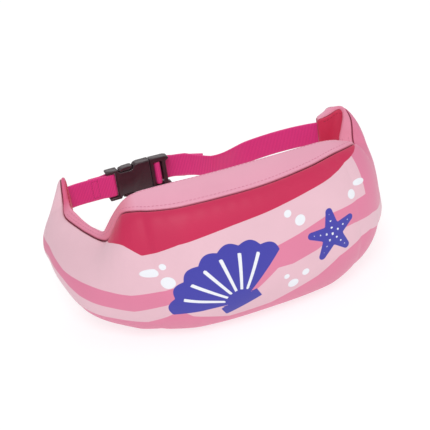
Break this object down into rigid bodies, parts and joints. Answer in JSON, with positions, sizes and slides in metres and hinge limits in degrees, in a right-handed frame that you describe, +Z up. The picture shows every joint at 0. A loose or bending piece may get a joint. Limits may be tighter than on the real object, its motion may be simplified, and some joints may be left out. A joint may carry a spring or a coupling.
{
  "type": "neoprene swim belt",
  "caption": "Child's foam-filled neoprene swim belt with a high padded front, tapering wings, and a webbing strap with a side-release buckle that closes it behind the waist.",
  "frame": {"origin": "under the middle of the whole belt, on the floor that it stands on", "axes": "+X from the buckle's side to the other as seen from the front, +Y from the printed front to the strap, +Z up"},
  "size_m": [0.3562, 0.2002, 0.136],
  "materials": {
    "printed_neoprene": "smooth knit-faced neoprene, printed in pinks, crimson and indigo",
    "pink_neoprene": "smooth knit-faced neoprene, plain pink",
    "crimson_neoprene": "smooth knit-faced neoprene, plain crimson",
    "webbing": "ribbed polypropylene webbing",
    "acetal": "moulded, satin"
  },
  "bodies": {
    "root": {"front_panel": "printed_neoprene", "top_gusset": "pink_neoprene", "back_panel": "crimson_neoprene", "strap_short": "webbing", "strap_long": "webbing", "buckle_socket": "acetal", "buckle_plug": "acetal"}
  },
  "joints": []
}
